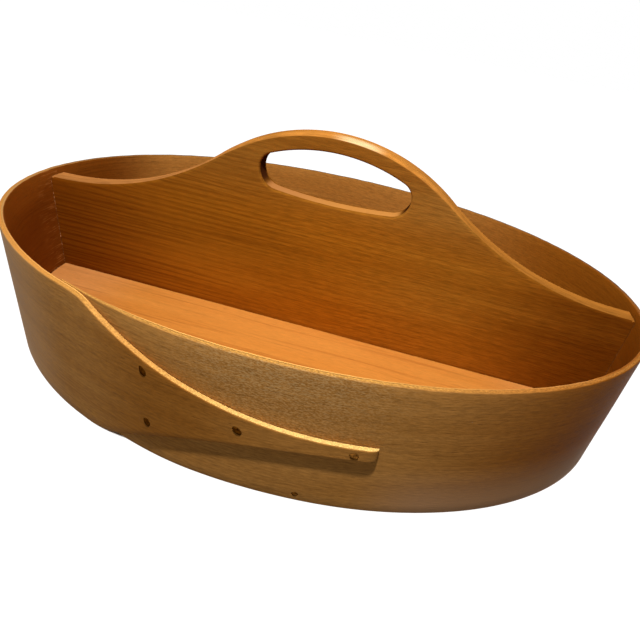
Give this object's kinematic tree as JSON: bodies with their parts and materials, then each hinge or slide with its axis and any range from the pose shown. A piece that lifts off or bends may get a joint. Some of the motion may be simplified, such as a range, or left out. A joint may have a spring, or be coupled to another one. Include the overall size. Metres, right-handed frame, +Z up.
{
  "type": "divided tray",
  "caption": "Oval open tray of thin bent wood with an upright divider down its middle, arched at the centre and cut with a hand hole to carry it by.",
  "frame": {"origin": "middle of the oval on the flat underside that the tray stands on", "axes": "+X along the oval's long axis and the divider, the way the lap's finger points; -Y towards the side with the lap; +Z up"},
  "size_m": [0.3812, 0.2763, 0.1343],
  "materials": {
    "band_wood": "satin clear finish over golden brown wood, grain running along the band",
    "board_wood": "satin clear finish over lighter orange brown wood, grain running lengthways",
    "divider_wood": "satin clear finish over warm brown wood with fine straight grain lengthways",
    "copper": "copper gone dark brown, hammered heads",
    "screw_steel": "plain steel"
  },
  "bodies": {
    "root": {"side_band": "band_wood", "bottom_board": "board_wood", "divider": "divider_wood", "lap_tack_tip": "copper", "lap_tack_middle": "copper", "lap_tack_root_upper": "copper", "lap_tack_root_lower": "copper", "base_tack_front": "copper", "base_tack_right": "copper", "base_tack_back": "copper", "base_tack_left": "copper", "end_brad_left_upper": "copper", "end_brad_left_lower": "copper", "end_brad_right_upper": "copper", "end_brad_right_lower": "copper", "floor_screw_far_left": "screw_steel", "floor_screw_near_left": "screw_steel", "floor_screw_near_right": "screw_steel", "floor_screw_far_right": "screw_steel"}
  },
  "joints": []
}
